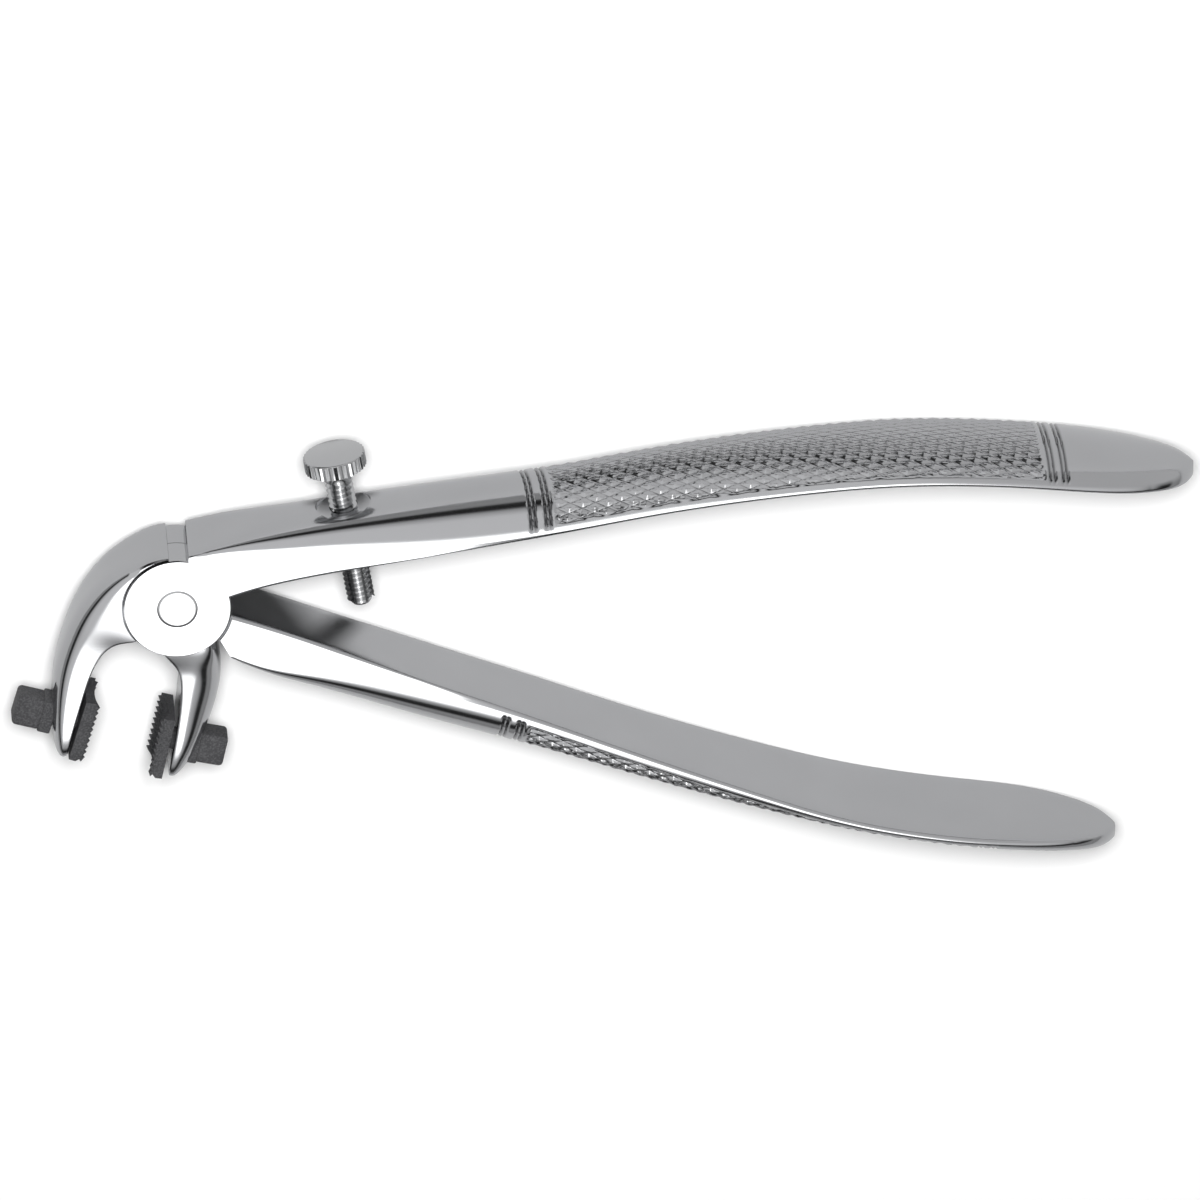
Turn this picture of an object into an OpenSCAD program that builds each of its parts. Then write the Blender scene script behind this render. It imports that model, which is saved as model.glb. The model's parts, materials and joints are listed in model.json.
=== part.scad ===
// Crown-removing pliers: two curved levers on a half-lap joint, a rivet, a stop screw and two rubber pads.
// Frame: +X runs from the joint along the handles, +Y is the upper handle's side, +Z is the pivot axis.
// The origin lies on the pivot axis, on the underside of the joint.

/* [Joint] */
// Radius of the two half discs that lap at the pivot
joint_r = 7.5; // [6:0.1:9]
// Thickness of the closed lap joint
joint_t = 11.4; // [9:0.1:14]
// Width of the notch between the two shoulders on top of the joint
shoulder_gap = 2.8; // [2.2:0.1:4]
// Rise of the upper lever's shoulder above the disc rim
shoulder_rise = 0.8; // [0.3:0.05:1.5]
// Gap between the faces of the two half discs
lap_gap = 0.06; // [0.04:0.01:0.2]
// Gap between a disc rim and the other lever around it
rim_gap = 0.1; // [0.06:0.01:0.25]

/* [Rivet] */
// Diameter of the rivet's shank
rivet_d = 4.6; // [3.5:0.1:5.5]
// Diameter of the rivet's flush heads
rivet_head_d = 5.6; // [4.2:0.1:7]
// Depth of each countersunk rivet head
rivet_head_t = 1.1; // [0.6:0.1:2]
// Running clearance on the rivet's radius in the upper lever
run_gap = 0.05; // [0.02:0.01:0.1]

/* [Handles] */
// Reach of the upper handle from the pivot
upper_len = 141.8; // [118:1:172]
// Reach of the lower handle from the pivot
lower_len = 134; // [112:1:162]
// Width of both handles where the palm holds them
palm_w = 18.6; // [15:0.1:23]
// Height of both handles at the stop screw
root_h = 7.8; // [6.6:0.1:9.4]
// Height of both handles where the palm holds them
palm_h = 4; // [3.4:0.1:5]
// Height of the straight edge along each handle's inner face
edge_land = 0.45; // [0.3:0.05:0.8]

/* [Stop screw] */
// Distance from the pivot to the stop screw where it enters the handle
screw_x = 23; // [19:0.1:27]
// Thread diameter of the stop screw
screw_d = 3.9; // [3.2:0.1:4.8]
// Length of the stop screw under its head
screw_len = 21.2; // [17:0.1:23]
// Length that stands out above the handle, under the head
screw_proud = 5.6; // [4:0.1:8]
// Diameter of the knurled head
head_d = 8.7; // [7.2:0.1:10.6]
// Height of the knurled head
head_h = 2.4; // [2:0.1:3]
// Clearance on the screw's radius in the handle
screw_gap = 0.06; // [0.03:0.01:0.1]
// Diameter of the spot face around the screw hole
spot_d = 7.8; // [6.4:0.1:9.4]
// Depth of the spot face
spot_depth = 0.3; // [0.2:0.05:0.5]

/* [Jaws and pads] */
// Drop of the inner jaw's tip below the pivot
jaw_drop = 28; // [25:0.1:33]
// Distance from the pivot across to the outer jaw's back
jaw_reach = 17.4; // [15.5:0.1:20]
// Width of both jaw tips along the pivot axis
tip_w = 8.2; // [7:0.1:9.8]
// Length of each pad's gripping plate
pad_len = 9.4; // [8:0.1:10.5]
// Width of each pad's gripping plate along the pivot axis
pad_w = 8; // [7:0.1:9.6]
// Thickness of the gripping plate to the tips of its teeth
pad_t = 2.1; // [1.8:0.1:2.6]
// Pitch of the gripping teeth
tooth_pitch = 0.9; // [0.75:0.01:1.2]
// Depth of the gripping teeth
tooth_depth = 0.45; // [0.3:0.05:0.6]
// Depth of the hollow along the gripping face
hollow = 0.75; // [0.4:0.05:0.9]
// Gap between a pad's back and its jaw
pad_gap = 0.35; // [0.2:0.05:0.6]
// Diameter of the pad's stem through the jaw
stem_d = 3.2; // [2.4:0.1:3.9]
// Length of the collar outside the jaw
collar_len = 1.6; // [1.2:0.1:2.2]
// Length of the pull tab beyond the collar
tab_len = 3.9; // [3:0.1:4.8]
// Height of the pull tab, up and down the jaw
tab_height = 4.6; // [3.9:0.1:5.5]
// Width of the pull tab along the pivot axis
tab_width = 4.2; // [3.5:0.1:5]
// Step of the collar beyond the tab on each side
collar_step = 0.25; // [0.1:0.05:0.6]

/* [Hidden] */
round_facets = 96;
mid = joint_t / 2;
root_w = joint_t / 2;
cut_r = joint_r + rim_gap;
steel = [0.78, 0.79, 0.80];
bright_steel = [0.86, 0.87, 0.88];
black_rubber = [0.16, 0.16, 0.17];

// ---- smooth curves through stations ----

// Cubic through stations p0..p3, used between p1 and p2; works on numbers and on lists
function cubic(p0, p1, p2, p3, t) =
    p1 + t * ((p2 - p0) / 2
    + t * ((p0 - 2.5 * p1 + 2 * p2 - p3 / 2)
    + t * (1.5 * (p1 - p2) + (p3 - p0) / 2)));
// Station i of a list, carried on past both ends
function held(s, i) = i < 0 ? 2 * s[0] - s[1]
    : i >= len(s) ? 2 * s[len(s) - 1] - s[len(s) - 2]
    : s[i];
// All the stations of an arm, filled in with "fine" steps between each pair
function filled(s, fine) = [
    for (i = [0 : len(s) - 2]) for (k = [0 : fine - 1])
        cubic(held(s, i - 1), s[i], s[i + 1], held(s, i + 2), k / fine),
    s[len(s) - 1]
];

// ---- arm: a bar with a flat inner face, straight edges and a crowned back ----
// A station is [inner x, inner y, crown x, crown y, half width, edge height, crown shape].
// Crown shape 2 is an ellipse, and a larger value is squarer.

crown_steps = 14;
function side_power(v, n) = sign(v) * pow(abs(v), 2 / n);
function arm_ring(s) =
    let (
        inner = [s[0], s[1]],
        up = [s[2] - s[0], s[3] - s[1]],
        h = norm(up),
        dir = up / h,
        rise = h - s[5],
        profile = concat(
            [[-s[4], 0]],
            [for (k = [0 : crown_steps]) let (a = 180 * k / crown_steps)
                [-s[4] * side_power(cos(a), s[6]), s[5] + rise * side_power(sin(a), s[6])]],
            [[s[4], 0]]
        )
    )
    [for (p = profile) [inner[0] + dir[0] * p[1], inner[1] + dir[1] * p[1], mid + p[0]]];

module arm(stations, fine) {
    rows = filled(stations, fine);
    rings = [for (s = rows) arm_ring(s)];
    m = crown_steps + 3;
    n = len(rings);
    points = [for (ring = rings) for (p = ring) p];
    path = [rows[1][0] - rows[0][0], rows[1][1] - rows[0][1]];
    up = [rows[0][2] - rows[0][0], rows[0][3] - rows[0][1]];
    flip = path[0] * up[1] - path[1] * up[0] < 0;
    sides = [
        for (i = [0 : n - 2]) for (j = [0 : m - 1])
            let (a = i * m + j, b = i * m + (j + 1) % m)
            each [[a, b, b + m], [a, b + m, a + m]]
    ];
    ends = [
        [for (j = [m - 1 : -1 : 0]) j],
        [for (j = [0 : m - 1]) (n - 1) * m + j]
    ];
    faces = concat(sides, ends);
    turned = flip ? faces : [for (f = faces) [for (k = [len(f) - 1 : -1 : 0]) f[k]]];
    polyhedron(points, turned, convexity = 6);
}

// ---- handles ----
// x along the handle, height of its inner face, its thickness, half width, edge height, crown shape

palm_half = palm_w / 2;
nominal_upper = 141.8;
nominal_lower = 134;
// The first stretch of both handles, with the screw, keeps its place when a handle's length changes
fixed_part = 30;
function along(x, reach, nominal) = x <= fixed_part ? x
    : fixed_part + (x - fixed_part) * (reach - fixed_part) / (nominal - fixed_part);
function upper_x(x) = along(x, upper_len, nominal_upper);
function lower_x(x) = along(x, lower_len, nominal_lower);
function handle_station(x, y, h, half, land, shape, side) = [x, y, x, y + side * h, half, land, shape];

shoulder_x = shoulder_gap / 2;
shoulder_y = joint_r + shoulder_rise;
upper_handle = [
    handle_station(shoulder_x, -0.9, shoulder_y + 0.9, root_w, shoulder_y + 0.3, 8, 1),
    handle_station(10, 2.75, root_h + 0.5, root_w, 5.5, 3.3, 1),
    handle_station(20, 5.15, root_h + 0.25, root_w, 4, 2.6, 1),
    handle_station(upper_x(36), 8.65, root_h - 0.35, 6.4, 1.4, 2.25, 1),
    handle_station(upper_x(52), 12, root_h - 1.15, 6.8, edge_land + 0.1, 2.05, 1),
    handle_station(upper_x(68), 15.7, palm_h + 1.95, 7.35, edge_land, 2.1, 1),
    handle_station(upper_x(84), 18.75, palm_h + 1, 8.35, edge_land, 2, 1),
    handle_station(upper_x(100), 20.85, palm_h - 0.2, palm_half, edge_land, 2, 1),
    handle_station(upper_x(115), 20.75, palm_h - 0.2, palm_half - 0.1, edge_land, 2, 1),
    handle_station(upper_x(127), 19.6, palm_h + 0.25, palm_half * 0.93, edge_land, 2, 1),
    handle_station(upper_x(135), 18.65, palm_h + 0.3, palm_half * 0.77, edge_land, 2, 1),
    handle_station(upper_x(139.2), 18.3, palm_h - 0.2, palm_half * 0.5, edge_land, 2, 1),
    handle_station(upper_x(141), 18.3, palm_h * 0.7, palm_half * 0.25, edge_land, 2, 1),
    handle_station(upper_len, 18.5, palm_h * 0.5, palm_half * 0.08, edge_land, 2, 1)
];

lower_handle = [
    handle_station(2.6, 0.4, 6.2, root_w, 5.8, 8, -1),
    handle_station(7.4, -1.05, root_h - 1.4, root_w, 5.6, 8, -1),
    handle_station(12, -2.5, root_h + 0.35, root_w, 6, 4, -1),
    handle_station(20, -5.4, root_h + 0.4, root_w, 4.2, 2.7, -1),
    handle_station(lower_x(35), -11.1, root_h - 0.2, 6.4, 1.5, 2.3, -1),
    handle_station(lower_x(50), -16.5, root_h - 1, 6.8, edge_land + 0.1, 2.05, -1),
    handle_station(lower_x(65), -22.1, palm_h + 1.8, 7.25, edge_land, 2.1, -1),
    handle_station(lower_x(80), -27.25, palm_h + 0.9, 8.1, edge_land, 2, -1),
    handle_station(lower_x(95), -31.8, palm_h - 0.45, palm_half - 0.2, edge_land, 2, -1),
    handle_station(lower_x(109), -34.3, palm_h - 0.6, palm_half, edge_land, 2, -1),
    handle_station(lower_x(120), -35.3, palm_h - 0.4, palm_half * 0.95, edge_land, 2, -1),
    handle_station(lower_x(128), -36.2, palm_h - 0.2, palm_half * 0.76, edge_land, 2, -1),
    handle_station(lower_x(131.5), -36.7, palm_h - 0.5, palm_half * 0.5, edge_land, 2, -1),
    handle_station(lower_x(133.2), -37, palm_h * 0.68, palm_half * 0.25, edge_land, 2, -1),
    handle_station(lower_len, -37.2, palm_h * 0.5, palm_half * 0.08, edge_land, 2, -1)
];

// ---- jaws ----
// Outer jaw, on the lower lever: over the top of the joint and down to its tip.
// Points near the joint follow the disc; points beyond it follow the jaw's drop and reach.

nominal_r = 7.5;
nominal_reach = 17.4;
nominal_drop = 28;
jaw_start = -9;
function by_disc(x, y) = [x, y] * joint_r / nominal_r;
function dropped(y) = y < jaw_start ? y * jaw_drop / nominal_drop : y;
function on_outer(x, y) = [x < jaw_start ? x * jaw_reach / nominal_reach : x, dropped(y)];
function on_inner(x, y) = [x, dropped(y)];
function jaw_station(inner, crown, half, land, shape) =
    [inner[0], inner[1], crown[0], crown[1], half, land, shape];
tip_half = tip_w / 2;

outer_jaw = [
    jaw_station([-shoulder_x, 0.5], [-shoulder_x, joint_r + 0.1], root_w, joint_r - 0.5, 8),
    jaw_station(by_disc(-2.2, 0.2), by_disc(-3.55, 7.35), root_w, 6.4, 4.4),
    jaw_station(by_disc(-3.2, -0.9), by_disc(-6.5, 6.3), root_w, 6.1, 3.6),
    jaw_station(by_disc(-4.1, -3.2), by_disc(-10.1, 3.75), root_w, 6.1, 3.05),
    jaw_station(by_disc(-5, -5.85), by_disc(-12.9, 0.3), root_w - 0.15, 6.1, 2.9),
    jaw_station(by_disc(-7.3, -5.35), by_disc(-14.5, -2.9), root_w - 0.5, 4.2, 2.8),
    jaw_station(on_outer(-9.9, -7), on_outer(-15.7, -6.6), root_w - 0.95, 3, 2.7),
    jaw_station(on_outer(-11.8, -11), on_outer(-16.8, -11.1), tip_half + 0.35, 2.5, 2.6),
    jaw_station(on_outer(-12.95, -15.6), on_outer(-17.1, -15.9), tip_half + 0.1, 2.1, 2.6),
    jaw_station(on_outer(-14, -19.8), on_outer(-17, -20.3), tip_half, 1.5, 2.6),
    jaw_station(on_outer(-14.7, -22.8), on_outer(-16.5, -23.2), tip_half - 0.35, 0.8, 2.4),
    jaw_station(on_outer(-15.15, -24.7), on_outer(-15.7, -25), tip_half - 1.1, 0.2, 2.2)
];

// Inner jaw, on the upper lever: straight down from the joint to its tip
inner_jaw = [
    jaw_station(by_disc(-1.6, -6), by_disc(4.5, -4.6), root_w, 5, 8),
    jaw_station(by_disc(-1.85, -7.85), by_disc(5.9, -6.7), root_w, 6, 5),
    jaw_station(by_disc(-0.2, -8.9), by_disc(6.45, -8.9), root_w - 0.2, 4, 3.4),
    jaw_station(on_inner(0.8, -10.8), on_inner(6.6, -11.4), root_w - 0.7, 2.4, 2.7),
    jaw_station(on_inner(0.9, -14.4), on_inner(6.35, -15), tip_half + 0.6, 1.6, 2.5),
    jaw_station(on_inner(0.65, -18.4), on_inner(5.4, -18.9), tip_half + 0.25, 1.3, 2.5),
    jaw_station(on_inner(0.2, -22.4), on_inner(4, -22.9), tip_half, 1, 2.5),
    jaw_station(on_inner(-0.3, -25.6), on_inner(2.5, -26.1), tip_half - 0.4, 0.7, 2.4),
    jaw_station(on_inner(-0.6, -27.8), on_inner(0.6, -28.2), tip_half - 1.2, 0.2, 2.2)
];

// ---- pads ----
// Both pads are alike. In a pad's own frame x points out of the gripping face, y points up the plate and
// z is the pivot's axis. The origin is the middle of the plate's back, and the stem runs back from there.

// Lean of each pad from the pivot's fore-and-aft line
outer_lean = 14.4;
inner_lean = 10.7;
outer_seat = on_outer(-13.8, -20) + pad_gap * [cos(outer_lean), -sin(outer_lean)];
inner_seat = on_inner(-0.3, -23.2) + pad_gap * [-cos(inner_lean), sin(inner_lean)];
outer_through = pad_gap + 3.15;
inner_through = pad_gap + 2.4;
collar_height = tab_height + 2 * collar_step;
collar_width = tab_width + 2 * collar_step;
seat_gap = 0.15;
toe_cut = 0.7;

module at_outer_pad() {
    translate([outer_seat[0], outer_seat[1], mid])
        rotate(-outer_lean)
            children();
}
module at_inner_pad() {
    translate([inner_seat[0], inner_seat[1], mid])
        mirror([1, 0, 0])
            rotate(inner_lean)
                children();
}

// Gripping plate seen along the pivot's axis: flat back, a row of teeth and a cut toe
module toothed_outline() {
    root = pad_t - tooth_depth;
    half = pad_len / 2;
    teeth = floor((pad_len - toe_cut / 2) / tooth_pitch);
    first = half - teeth * tooth_pitch;
    polygon(concat(
        [[0, -half], [0, half]],
        [for (k = [teeth - 1 : -1 : 0]) each [
            [root, first + (k + 1) * tooth_pitch],
            [pad_t, first + (k + 0.5) * tooth_pitch]
        ]],
        [[root, first], [root, toe_cut - half], [root - toe_cut, -half]]
    ));
}
module pad(through) {
    rim = 0.35;
    half_hollow = pad_w / 2 - rim;
    hollow_r = (half_hollow * half_hollow + hollow * hollow) / (2 * hollow);
    sunk = 0.4;
    difference() {
        translate([0, 0, -pad_w / 2])
            linear_extrude(pad_w)
                toothed_outline();
        translate([pad_t - hollow + hollow_r, pad_len, 0])
            rotate([90, 0, 0])
                cylinder(r = hollow_r, h = 2 * pad_len, $fn = round_facets);
    }
    translate([sunk, 0, 0])
        rotate([0, -90, 0])
            cylinder(d = stem_d, h = through + 2 * sunk, $fn = round_facets);
    translate([-through - collar_len / 2, 0, 0])
        cube([collar_len, collar_height, collar_width], center = true);
    translate([-through - collar_len - tab_len / 2, 0, 0])
        cube([tab_len, tab_height, tab_width], center = true);
}
module outer_pad() color(black_rubber) at_outer_pad() pad(outer_through);
module inner_pad() color(black_rubber) at_inner_pad() pad(inner_through);

// What a pad takes out of its jaw: the stem's hole and the flat that its collar seats on
module pad_holes(through) {
    reach = 8;
    translate([reach / 4, 0, 0])
        rotate([0, -90, 0])
            cylinder(d = stem_d, h = 2 * reach, $fn = round_facets);
    translate([-through - reach / 2, 0, 0])
        cube([reach, collar_height + 2 * seat_gap, collar_width + 2 * seat_gap], center = true);
}

// ---- rivet and stop screw ----

module rivet_solid(grow) {
    shank = rivet_d + 2 * grow;
    head = rivet_head_d + 2 * grow;
    cylinder(d = shank, h = joint_t, $fn = round_facets);
    cylinder(d1 = head, d2 = shank, h = rivet_head_t, $fn = round_facets);
    translate([0, 0, joint_t - rivet_head_t])
        cylinder(d1 = shank, d2 = head, h = rivet_head_t, $fn = round_facets);
}
module joint_rivet() color(bright_steel) rivet_solid(0);

// The stop screw stands square to the upper handle; its frame starts on the handle's back, z outwards
screw_tilt = 11.3;
function screw_base_y() =
    let (a = upper_handle[2], b = upper_handle[3], t = (screw_x - a[2]) / (b[2] - a[2]))
    cubic(upper_handle[1], a, b, upper_handle[4], t)[3];
module at_screw() {
    translate([screw_x, screw_base_y(), mid])
        rotate([-90, 0, screw_tilt])
            children();
}
module stop_screw() {
    chamfer = 0.4;
    neck = 1.1;
    color(bright_steel)
        at_screw() {
            translate([0, 0, screw_proud - screw_len + chamfer])
                cylinder(d = screw_d, h = screw_len - chamfer, $fn = round_facets);
            translate([0, 0, screw_proud - screw_len])
                cylinder(d1 = screw_d - 2 * chamfer, d2 = screw_d, h = chamfer, $fn = round_facets);
            translate([0, 0, screw_proud - neck])
                cylinder(d1 = screw_d, d2 = screw_d + 1.6, h = neck, $fn = round_facets);
            translate([0, 0, screw_proud])
                cylinder(d = head_d, h = head_h, $fn = round_facets);
        }
}

// ---- levers ----

// The lower handle ends at the joint in a slanted flat face, clear of the inner jaw's back
root_turn = -60;
root_face = 0.379 * joint_r;

module lower_lever() {
    color(steel)
        difference() {
            union() {
                cylinder(r = joint_r, h = mid - lap_gap / 2, $fn = round_facets);
                difference() {
                    arm(lower_handle, 3);
                    rotate(root_turn)
                        translate([-3 * joint_r, root_face - 3 * joint_r, -1])
                            cube([6 * joint_r, 3 * joint_r, joint_t + 2]);
                }
                arm(outer_jaw, 3);
            }
            translate([0, 0, mid - lap_gap / 2])
                cylinder(r = cut_r, h = joint_t, $fn = round_facets);
            rivet_solid(0);
            at_outer_pad() pad_holes(outer_through);
        }
}
module upper_lever() {
    color(steel)
        difference() {
            union() {
                translate([0, 0, mid + lap_gap / 2])
                    cylinder(r = joint_r, h = mid - lap_gap / 2, $fn = round_facets);
                arm(upper_handle, 3);
                arm(inner_jaw, 3);
            }
            translate([0, 0, -1])
                cylinder(r = cut_r, h = mid + lap_gap / 2 + 1, $fn = round_facets);
            rivet_solid(run_gap);
            at_inner_pad() pad_holes(inner_through);
            at_screw() {
                translate([0, 0, -2 * root_h])
                    cylinder(d = screw_d + 2 * screw_gap, h = 3 * root_h, $fn = round_facets);
                translate([0, 0, -spot_depth])
                    cylinder(d = spot_d, h = 4, $fn = round_facets);
            }
        }
}

lower_lever();
upper_lever();
joint_rivet();
stop_screw();
outer_pad();
inner_pad();
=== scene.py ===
# %% [markdown]
# # Crown-removing pliers
# These are polished steel pliers with two curved handles, a riveted half-lap joint, a stop screw and two
# rubber pads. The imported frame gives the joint, the axes and the box of every piece. Here each plain solid
# gets a finished skin: knurled grips, a threaded and fluted screw, ridged pads and polished steel.

# %% Load the frame
import bpy, bmesh, json, math
import numpy as np
from mathutils import Matrix, Vector


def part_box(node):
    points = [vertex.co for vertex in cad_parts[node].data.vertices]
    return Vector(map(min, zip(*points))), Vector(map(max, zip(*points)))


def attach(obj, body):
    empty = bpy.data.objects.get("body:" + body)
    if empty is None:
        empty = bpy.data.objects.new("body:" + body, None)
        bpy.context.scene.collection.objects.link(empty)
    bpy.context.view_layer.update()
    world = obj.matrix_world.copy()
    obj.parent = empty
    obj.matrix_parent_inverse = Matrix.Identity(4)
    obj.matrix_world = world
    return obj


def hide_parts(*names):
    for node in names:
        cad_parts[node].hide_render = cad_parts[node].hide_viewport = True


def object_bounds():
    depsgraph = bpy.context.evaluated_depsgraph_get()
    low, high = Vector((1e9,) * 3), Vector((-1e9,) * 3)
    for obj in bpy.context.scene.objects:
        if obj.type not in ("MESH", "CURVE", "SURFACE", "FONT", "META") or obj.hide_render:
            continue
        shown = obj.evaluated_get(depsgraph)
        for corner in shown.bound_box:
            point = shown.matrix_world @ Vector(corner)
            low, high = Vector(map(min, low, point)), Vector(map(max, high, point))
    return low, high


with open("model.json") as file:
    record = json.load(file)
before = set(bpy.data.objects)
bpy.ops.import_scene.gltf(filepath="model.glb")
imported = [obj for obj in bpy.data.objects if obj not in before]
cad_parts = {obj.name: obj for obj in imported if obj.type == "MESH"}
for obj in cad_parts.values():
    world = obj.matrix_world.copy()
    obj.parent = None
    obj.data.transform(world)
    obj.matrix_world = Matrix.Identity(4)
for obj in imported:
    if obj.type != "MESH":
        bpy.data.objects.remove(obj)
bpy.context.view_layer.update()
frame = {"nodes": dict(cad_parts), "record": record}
MM = 0.001
joint_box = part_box("joint_rivet")
joint_t = (joint_box[1][2] - joint_box[0][2]) / MM
mid = joint_t / 2
print("joint thickness", round(joint_t, 3), "mm; nodes", sorted(frame["nodes"]))

# %% [markdown]
# ## Shapes as stations
# Each arm of the pliers is a bar whose section changes slowly: a flat inner face, a straight edge on each
# side, and a crowned back. A blacksmith's die gives it that shape. A list of stations describes it well:
# inner edge, crown point, half width, edge height, and how square the crown is. Box modelling would also do,
# but stations keep both levers' curves in one rule and match the frame's own solids.

# %% Sizes that the arms share, in millimetres
joint_r = 7.5
root_w = joint_t / 2 - 0.005
tip_half = 4.1
shoulder_x = 1.4
shoulder_y = joint_r + 0.8
edge = 0.45
palm_half = 9.3
print("half widths: root", round(root_w, 2), "palm", palm_half, "jaw tip", tip_half)


# %% Stations of the four arms
def handle_rows(rows, side):
    """Full stations from x, inner y, height, half width, edge height and crown shape; the back faces side."""
    return [[x, y, x, y + side * high, half, land, shape] for x, y, high, half, land, shape in rows]


upper_handle = handle_rows([
    (shoulder_x, -0.9, shoulder_y + 0.9, root_w, shoulder_y + 0.3, 8), (10, 2.75, 8.3, root_w, 5.5, 3.3),
    (20, 5.15, 8.05, root_w, 4, 2.6), (36, 8.65, 7.45, 6.4, 1.4, 2.25), (52, 12, 6.65, 6.8, edge + 0.1, 2.05),
    (68, 15.7, 5.95, 7.35, edge, 2.1), (84, 18.75, 5, 8.35, edge, 2), (100, 20.85, 3.8, palm_half, edge, 2),
    (115, 20.75, 3.8, palm_half - 0.1, edge, 2), (127, 19.6, 4.25, palm_half * 0.93, edge, 2),
    (135, 18.65, 4.3, palm_half * 0.77, edge, 2), (139.2, 18.3, 3.8, palm_half * 0.5, edge, 2),
    (141, 18.3, 2.8, palm_half * 0.25, edge, 2), (141.8, 18.5, 2, palm_half * 0.08, edge, 2)], 1)
lower_handle = handle_rows([
    (2.6, 0.4, 6.2, root_w, 5.8, 8), (7.4, -1.05, 6.4, root_w, 5.6, 8), (12, -2.5, 8.15, root_w, 6, 4),
    (20, -5.4, 8.2, root_w, 4.2, 2.7), (35, -11.1, 7.6, 6.4, 1.5, 2.3),
    (50, -16.5, 6.8, 6.8, edge + 0.1, 2.05), (65, -22.1, 5.8, 7.25, edge, 2.1),
    (80, -27.25, 4.9, 8.1, edge, 2), (95, -31.8, 3.55, palm_half - 0.2, edge, 2),
    (109, -34.3, 3.4, palm_half, edge, 2), (120, -35.3, 3.6, palm_half * 0.95, edge, 2),
    (128, -36.2, 3.8, palm_half * 0.76, edge, 2), (131.5, -36.7, 3.5, palm_half * 0.5, edge, 2),
    (133.2, -37, 2.72, palm_half * 0.25, edge, 2), (134, -37.2, 2, palm_half * 0.08, edge, 2)], -1)
outer_jaw = [
    [-shoulder_x, 0.5, -shoulder_x, joint_r + 0.35, root_w, joint_r - 0.5, 8],
    [-2.2, 0.2, -3.55, 7.5, root_w, 6.4, 7], [-3.2, -0.9, -6.5, 6.3, root_w, 6.1, 5.5],
    [-4.1, -3.2, -10.1, 3.75, root_w, 6.1, 4.4], [-5, -5.85, -12.9, 0.3, root_w - 0.1, 6.1, 3.8],
    [-7.3, -5.35, -14.5, -2.9, root_w - 0.4, 4.2, 3.4], [-9.9, -7, -15.7, -6.6, root_w - 0.85, 3, 3.0],
    [-11.8, -11, -16.8, -11.1, tip_half + 0.35, 2.5, 2.6],
    [-12.95, -15.6, -17.1, -15.9, tip_half + 0.1, 2.1, 2.6],
    [-14, -19.8, -17, -20.3, tip_half, 1.5, 2.4], [-14.55, -22.9, -16.7, -23.3, tip_half - 0.3, 0.9, 2.3],
    [-14.75, -24.3, -16.25, -24.6, tip_half - 0.8, 0.5, 2.2],
    [-15.1, -24.9, -15.8, -25.05, tip_half - 1.6, 0.2, 2.1]]
inner_jaw = [
    [-1.6, -6, 4.5, -4.6, root_w, 5, 8], [-1.85, -7.75, 5.9, -6.7, root_w - 0.1, 4.4, 5],
    [-0.3, -8.9, 6.45, -8.9, root_w - 0.5, 2.4, 3], [0.75, -10.8, 6.6, -11.4, root_w - 0.95, 1.2, 2.35],
    [0.9, -14.4, 6.35, -15, tip_half + 0.5, 0.8, 2.1], [0.65, -18.4, 5.4, -18.9, tip_half + 0.2, 0.7, 2.05],
    [0.2, -22.4, 4.1, -22.9, tip_half, 0.7, 2.1], [-0.3, -25.6, 2.6, -26.1, tip_half - 0.4, 0.6, 2.1],
    [-0.55, -27.5, 1.2, -27.8, tip_half - 1.0, 0.35, 2.1],
    [-0.3, -28.05, 0.5, -28.2, tip_half - 1.8, 0.2, 2.1]]
print("stations:", len(upper_handle), len(lower_handle), len(outer_jaw), len(inner_jaw))

# %% [markdown]
# ## From stations to a skin
# A curve through the stations fills in the sections between them, and each section is drawn as a ring of
# points spaced evenly along its outline. Even spacing matters here, because the knurling will later press
# into this grid. The inner corners get a small radius, as a polished edge has. It is larger near the joint,
# and from the neck outwards the edges lean in slightly, as a forging's draft does.

# %% Curves through stations
def between(rows, place):
    """Section at a fractional station number, on a smooth cubic."""
    s = np.array(rows, float)
    i = min(int(place), len(s) - 2)
    t = place - i
    p1, p2 = s[i], s[i + 1]
    p0 = s[i - 1] if i else 2 * p1 - p2
    p3 = s[i + 2] if i + 2 < len(s) else 2 * p2 - p1
    bend = p0 - 2.5 * p1 + 2 * p2 - p3 / 2
    return p1 + t * ((p2 - p0) / 2 + t * (bend + t * (1.5 * (p1 - p2) + (p3 - p0) / 2)))


def sections(rows, step, smooth=0):
    """Sections spaced by about step millimetres along the crown, with the changes of bend evened out."""
    per_station, rounds = 60, 3
    dense = np.array([between(rows, k) for k in np.linspace(0, len(rows) - 1, per_station * len(rows))])
    for _ in range(rounds if smooth else 0):
        run = np.concatenate([[0], np.cumsum(np.hypot(*np.diff(dense[:, :2], axis=0).T))])
        near_end = np.minimum(run, run[-1] - run)
        reach = np.minimum(smooth, near_end / 3 + 1e-6)
        out = dense.copy()
        for i in range(len(dense)):
            w = np.exp(-0.5 * ((run - run[i]) / reach[i]) ** 2)
            if w.sum() > 1.001:
                even = w * np.gradient(run)
                out[i] = (even[:, None] * dense).sum(0) / even.sum() if near_end[i] > 0 else dense[i]
        dense = out
    run = np.concatenate([[0], np.cumsum(np.linalg.norm(np.diff(dense[:, 2:4], axis=0), axis=1))])
    marks = np.linspace(0, run[-1], max(2, int(round(run[-1] / step)) + 1))
    return np.array([[np.interp(m, run, dense[:, c]) for c in range(7)] for m in marks])


sample = sections(upper_handle, 2.0)
print("a section every 2 mm of the upper handle:", len(sample))


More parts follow.
